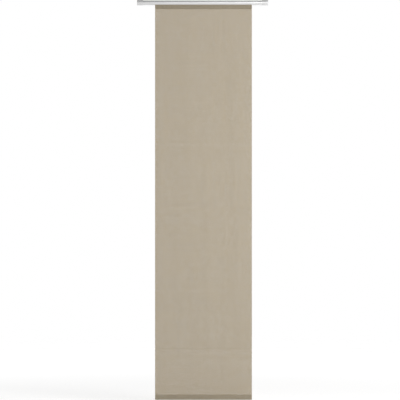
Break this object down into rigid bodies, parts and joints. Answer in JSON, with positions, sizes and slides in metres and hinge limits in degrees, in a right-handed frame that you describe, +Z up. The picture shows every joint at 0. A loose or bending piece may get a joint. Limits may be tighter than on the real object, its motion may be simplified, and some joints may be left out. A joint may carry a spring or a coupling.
{
  "type": "panel curtain",
  "caption": "Sheer cloth panel hung by hook-and-loop tape from a carriage that slides along an aluminium ceiling rail with end caps; a bar in the bottom hem keeps it straight.",
  "frame": {"origin": "middle of the rail's ceiling face, midway between its two screw holes", "axes": "+X along the rail to the right as seen from the front, +Y to the back, +Z up to the ceiling"},
  "size_m": [0.812, 0.0246, 2.4785],
  "materials": {
    "rail_aluminium": "satin",
    "cap_grey": "satin",
    "stop_plastic": "satin",
    "screw_steel": "satin",
    "carriage_aluminium": "satin",
    "carriage_plastic": "satin",
    "glider_plastic": "satin",
    "hook_nylon": "matte",
    "loop_nylon": "matte",
    "panel_cloth": "matte",
    "bar_aluminium": "satin",
    "bar_cap_plastic": "satin"
  },
  "bodies": {
    "rail": {"rail_profile": "rail_aluminium", "end_cap_left": "cap_grey", "end_cap_right": "cap_grey", "end_stop_left": "stop_plastic", "end_stop_right": "stop_plastic", "end_stop_screws": "screw_steel"},
    "panel": {"carriage_profile": "carriage_aluminium", "carriage_end_left": "carriage_plastic", "carriage_end_right": "carriage_plastic", "glider_1": "glider_plastic", "glider_2": "glider_plastic", "glider_3": "glider_plastic", "glider_4": "glider_plastic", "hook_tape": "hook_nylon", "loop_tape": "loop_nylon", "fabric_panel": "panel_cloth", "weight_bar": "bar_aluminium", "bar_cap_left": "bar_cap_plastic", "bar_cap_right": "bar_cap_plastic"}
  },
  "joints": [
    {"name": "panel_slide", "type": "slide", "parent": "rail", "child": "panel", "axis": [1, 0, 0], "range_m": [-0.0914, 0.0794]}
  ]
}
